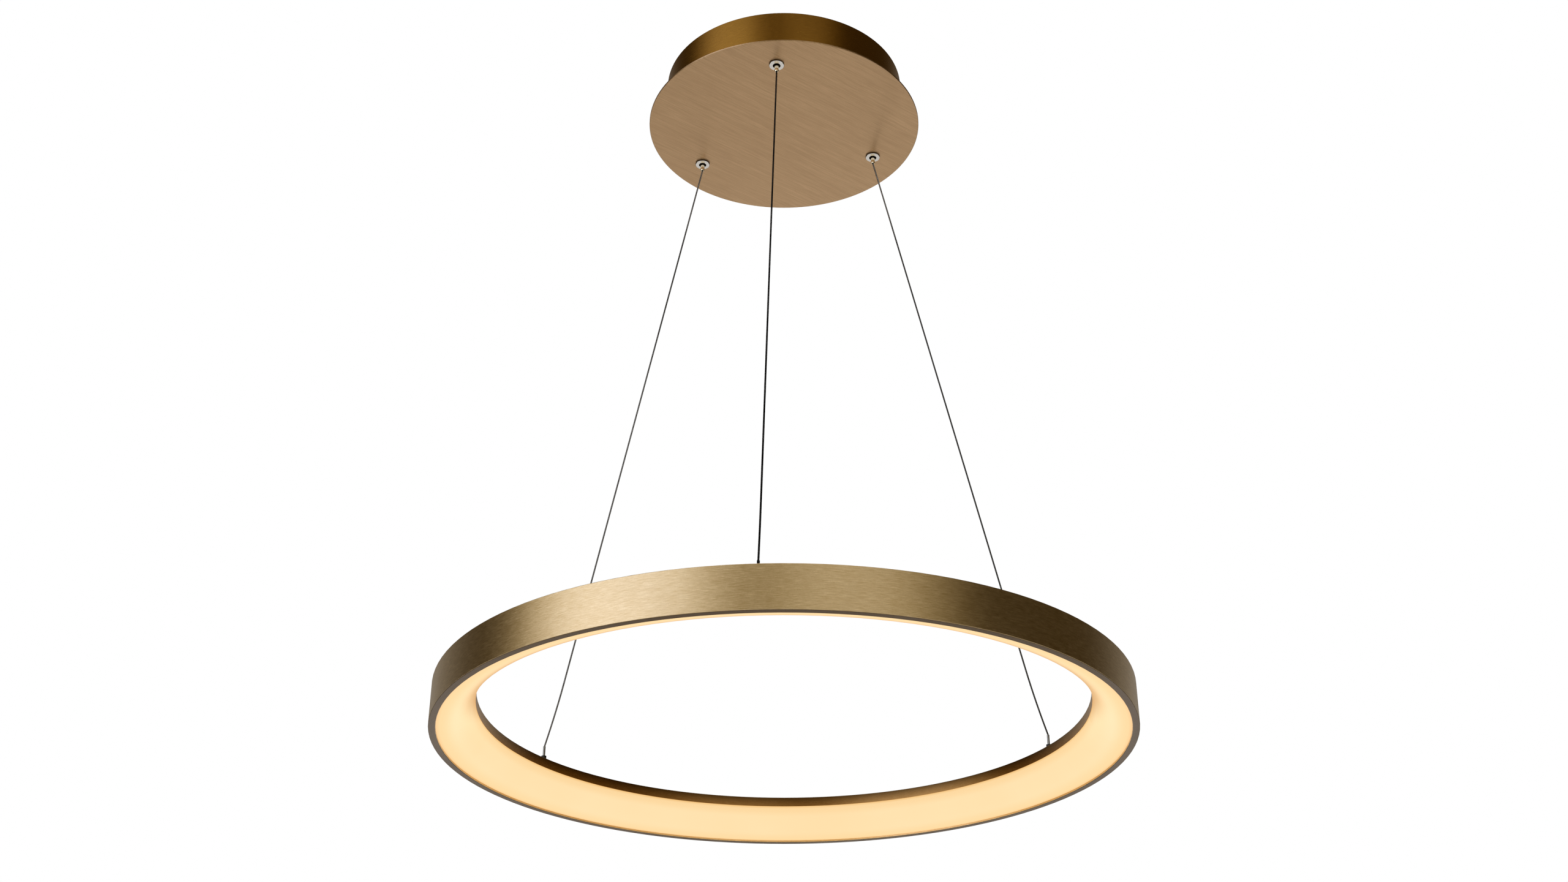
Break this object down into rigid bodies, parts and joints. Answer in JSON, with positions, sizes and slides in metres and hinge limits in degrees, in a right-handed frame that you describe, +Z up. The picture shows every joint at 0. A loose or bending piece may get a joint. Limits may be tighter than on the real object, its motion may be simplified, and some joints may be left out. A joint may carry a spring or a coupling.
{
  "type": "ring pendant light",
  "caption": "Pendant light: a lit ring with a brushed gold rim and an opal cover, hung level under a round ceiling canopy on thin adjustable wires.",
  "frame": {"origin": "centre of the canopy on the ceiling plane, which is the ceiling bracket's upper face", "axes": "+Z up to the ceiling, the ring hangs below; -Y is the front of the picture; the ceiling bracket lies along X"},
  "size_m": [0.5799, 0.58, 0.682],
  "materials": {
    "brushed_gold_ring": "brushed along the ring, gold anodised",
    "brushed_gold_canopy": "brushed, gold plated",
    "brushed_gold_screw": "plated",
    "opal": "opal, lit from behind",
    "strip_tape": "white tape",
    "led": "phosphor over a white case",
    "nickel": "polished nickel",
    "steel_wire": "twisted strands",
    "ball_steel": "polished",
    "zinc": "zinc plated",
    "insulator": "moulded",
    "driver_white": "moulded",
    "terminal_white": "moulded",
    "earth_brass": "plain",
    "lead_brown": "insulated lead",
    "lead_green": "insulated lead",
    "lead_red": "insulated lead",
    "lead_ivory": "insulated lead"
  },
  "bodies": {
    "canopy": {"ceiling_bracket": "zinc", "canopy_drum": "brushed_gold_canopy", "canopy_plate": "brushed_gold_canopy", "plate_studs": "zinc", "tab_nuts": "zinc", "side_screws": "brushed_gold_screw", "led_driver": "driver_white", "driver_nuts": "zinc", "terminal_block": "terminal_white", "terminal_screws": "zinc", "terminal_nut": "zinc", "earth_screw": "earth_brass", "earth_tag": "earth_brass", "mains_leads": "lead_brown", "earth_lead": "lead_green", "output_leads": "lead_red", "gripper_body_front": "nickel", "gripper_body_right": "nickel", "gripper_body_left": "nickel", "gripper_cap_front": "nickel", "gripper_cap_right": "nickel", "gripper_cap_left": "nickel", "gripper_bushes": "insulator", "gripper_nuts": "nickel", "plunger_spring_front": "ball_steel", "plunger_spring_right": "ball_steel", "plunger_spring_left": "ball_steel", "wire_tails": "steel_wire", "wire_end_stops": "nickel", "suspension_wire_front": "steel_wire", "suspension_wire_right": "steel_wire", "suspension_wire_left": "steel_wire"},
    "ring": {"ring_profile": "brushed_gold_ring", "opal_cover": "opal", "led_strip": "strip_tape", "led_chips": "led", "strip_leads": "lead_ivory", "wire_anchor_front": "nickel", "wire_anchor_right": "nickel", "wire_anchor_left": "nickel", "wire_ferrule_front": "nickel", "wire_ferrule_right": "nickel", "wire_ferrule_left": "nickel", "anchor_bushes": "insulator", "anchor_washers": "insulator", "anchor_nuts": "zinc"},
    "plunger_front": {"release_plunger_front": "nickel", "gripping_balls_front": "ball_steel"},
    "plunger_right": {"release_plunger_right": "nickel", "gripping_balls_right": "ball_steel"},
    "plunger_left": {"release_plunger_left": "nickel", "gripping_balls_left": "ball_steel"}
  },
  "joints": [
    {"name": "ring_height", "type": "slide", "parent": "canopy", "child": "ring", "axis": [0, 0, 1], "range_m": [0, 0.35], "deforming": ["suspension_wire_front", "suspension_wire_right", "suspension_wire_left"]},
    {"name": "plunger_front", "type": "slide", "parent": "canopy", "child": "plunger_front", "axis": [0, 0, 1], "range_m": [0, 0.0025], "stiffness_N_per_m": 2000, "springref_m": -0.001, "deforming": ["plunger_spring_front"]},
    {"name": "plunger_right", "type": "slide", "parent": "canopy", "child": "plunger_right", "axis": [0, 0, 1], "range_m": [0, 0.0025], "stiffness_N_per_m": 2000, "springref_m": -0.001, "deforming": ["plunger_spring_right"]},
    {"name": "plunger_left", "type": "slide", "parent": "canopy", "child": "plunger_left", "axis": [0, 0, 1], "range_m": [0, 0.0025], "stiffness_N_per_m": 2000, "springref_m": -0.001, "deforming": ["plunger_spring_left"]}
  ]
}
